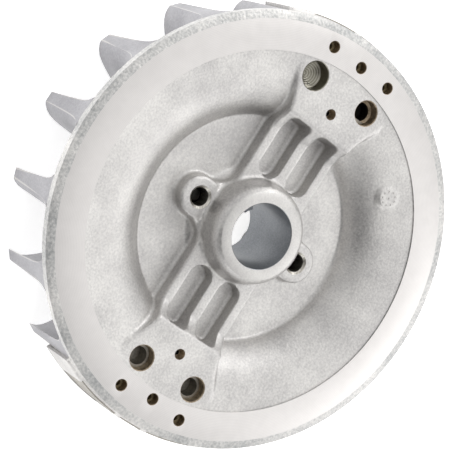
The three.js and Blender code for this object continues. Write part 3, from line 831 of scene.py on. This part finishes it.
def pawlSpring(number):  # a tang in the boss's groove, two coils, and a leg that hooks over the pawl's arm
    points = [(spring["radius"], 0, spring["tangTop"])]
    for i in range(spring["turns"] * spring["perTurn"] + 1):
        turns = i / spring["perTurn"]
        drop = spring["bottom"] + (spring["turns"] - turns) * spring["pitch"]
        points.append((*polar(spring["radius"], -360 * turns), drop))
    points += spring["leg"]
    curve = bpy.data.curves.new("wire", "CURVE")
    curve.dimensions = "3D"
    curve.bevel_depth = spring["wire"]
    curve.bevel_resolution = 4
    curve.use_fill_caps = True
    line = curve.splines.new("BEZIER")
    line.bezier_points.add(len(points) - 1)
    line.resolution_u = 5
    for point, place in zip(line.bezier_points, points):
        point.co = place
        point.handle_left_type = point.handle_right_type = "AUTO"
    wire = bpy.data.objects.new("wire", curve)
    scene.collection.objects.link(wire)
    mesh = bpy.data.meshes.new_from_object(wire.evaluated_get(bpy.context.evaluated_depsgraph_get()))
    bpy.data.objects.remove(wire)
    mesh.transform(pawlPlace(number))
    mesh.materials.clear()
    mesh.materials.append(springWire)
    coil = bpy.data.objects.new(f"pawl_{number}_torsion_spring", mesh)
    scene.collection.objects.link(coil)
    finishPiece(coil, f"pawl_{number}", [f"pawl_spring_{number}"])


screw = {"head": 4.8, "headBottom": 0.7, "headTop": 2.8, "edge": 0.4, "shoulder": 2.8, "shoulderTop": 9.5,
         "crest": 2, "root": 1.65, "pitch": 0.8, "end": 16.6, "socket": 2.3, "socketDepth": 1.3}


def shoulderScrew(number):
    v = screw
    thread = []
    z = v["shoulderTop"] + 0.6
    while z + v["pitch"] < v["end"] - 0.5:
        thread += [(v["root"], z), (v["crest"], z + v["pitch"] * 0.4), (v["crest"], z + v["pitch"] * 0.55)]
        z += v["pitch"]
    edge = v["edge"]
    body = turnedBody([
        (0, v["headBottom"]), (v["head"] - edge, v["headBottom"]), (v["head"] - edge * 0.3,
                                                                    v["headBottom"] + edge * 0.3),
        (v["head"], v["headBottom"] + edge), (v["head"], v["headTop"] - 0.15), (v["head"] - 0.15,
                                                                                v["headTop"]),
        (v["shoulder"], v["headTop"]), (v["shoulder"], v["shoulderTop"] - 0.3),
        (v["shoulder"] - 0.3, v["shoulderTop"]), (v["root"], v["shoulderTop"]), *thread, (v["root"], z),
        (v["root"] - 0.4, v["end"] - 0.1), (v["root"] - 0.6, v["end"]), (0, v["end"])], 64)
    screwBody = workObject(f"pawl_{number}_shoulder_screw", body, blackSteel)
    depth = v["headBottom"] + v["socketDepth"]
    key = rodBody(0, 0, v["socket"], v["headBottom"] - past, depth, 6)
    combine(screwBody, [workObject("key", key, blackSteel)])
    screwBody.data.transform(pawlPlace(number))
    finishPiece(screwBody, "rotor", [f"pawl_screw_{number}"])


def plainWasher(number):
    node = f"pawl_washer_{number}"
    low, high = boxOf(node)
    outer = (high.x - low.x) / 2
    inner, edge = pawl["bore"] - 0.05, 0.12
    body = turnedBody([
        (inner, low.z + edge), (inner + edge, low.z), (outer - edge, low.z), (outer, low.z + edge),
        (outer, high.z - edge), (outer - edge, high.z), (inner + edge, high.z), (inner, high.z - edge)], 64)
    washer = workObject(f"pawl_{number}_thrust_washer", body, springWire)
    washer.data.transform(pawlPlace(number))
    finishPiece(washer, "rotor", [node])


rotorCasting()
ironPacks()
for i in (1, 2, 3):
    tubularRivet(f"pole_tubular_rivet_{i}", f"pole_rivet_{i}")
    tubularRivet(f"counterweight_tubular_rivet_{i}", f"counterweight_rivet_{i}")
print("iron packs laid up and riveted")
for i in (1, 2):
    starterPawl(i)
    pawlSpring(i)
    shoulderScrew(i)
    plainWasher(i)
print("pawl sets fitted")

floorValues = {"size": 4, "white": "#f6f6f6", "glow": 0.8}


def addFloor(v):
    bm = bmesh.new()
    bmesh.ops.create_grid(bm, x_segments=2, y_segments=2, size=v["size"] / 2 / mm)
    floor = workObject("floor", bm)
    floor.data.transform(Matrix.Scale(mm, 4))
    white = colour(v["white"])
    material = newMaterial("studio_paper", {"Roughness": 0.8, "Base Color": white, "Emission Color": white,
                                            "Emission Strength": v["glow"]})[0]
    floor.data.materials.append(material)


def addLight(name, energy, size, place, target=(0, 0, 0.015)):
    light = bpy.data.lights.new(name, "AREA")
    light.energy = energy
    light.size = size
    lamp = bpy.data.objects.new(name, light)
    aim = Vector(target) - Vector(place)
    lamp.matrix_world = Matrix.Translation(place) @ aim.to_track_quat("-Z", "Y").to_matrix().to_4x4()
    scene.collection.objects.link(lamp)


def addSky(v):  # a pale studio with one dark gap, which gives the dished metal its shaded side
    world = bpy.data.worlds.new("studio")
    world.use_nodes = True
    tree = world.node_tree
    direction = addNode(tree, "ShaderNodeTexCoord").outputs["Generated"]
    lean = addNode(tree, "ShaderNodeVectorMath", {1: v["gap"]}, {0: direction},
                   operation="DOT_PRODUCT").outputs["Value"]
    level = addNode(tree, "ShaderNodeMapRange", {"From Min": v["edge"], "To Min": v["bright"],
                                                 "To Max": v["dim"]},
                    {"Value": lean}, interpolation_type="SMOOTHSTEP").outputs[0]
    tree.links.new(level, tree.nodes["Background"].inputs["Strength"])
    tree.nodes["Background"].inputs["Color"].default_value = (1, 1, 1, 1)
    scene.world = world


addFloor(floorValues)
addSky({"gap": (-0.6, 0.36, 0.7), "edge": 0.72, "dim": 0, "bright": 0.86})
addLight("key", 2, 0.5, (0.72, -0.2, 0.66))
addLight("side", 1.2, 0.5, (0, -0.85, 0.5))
addLight("left", 1, 0.5, (-0.85, -0.3, 0.45))
addLight("rake", 1, 0.3, (0.95, -0.15, 0.14))
addLight("top", 0.4, 0.6, (0.08, -0.45, 0.9))
scene.view_settings.view_transform = "Standard"
print("floor and lights placed")
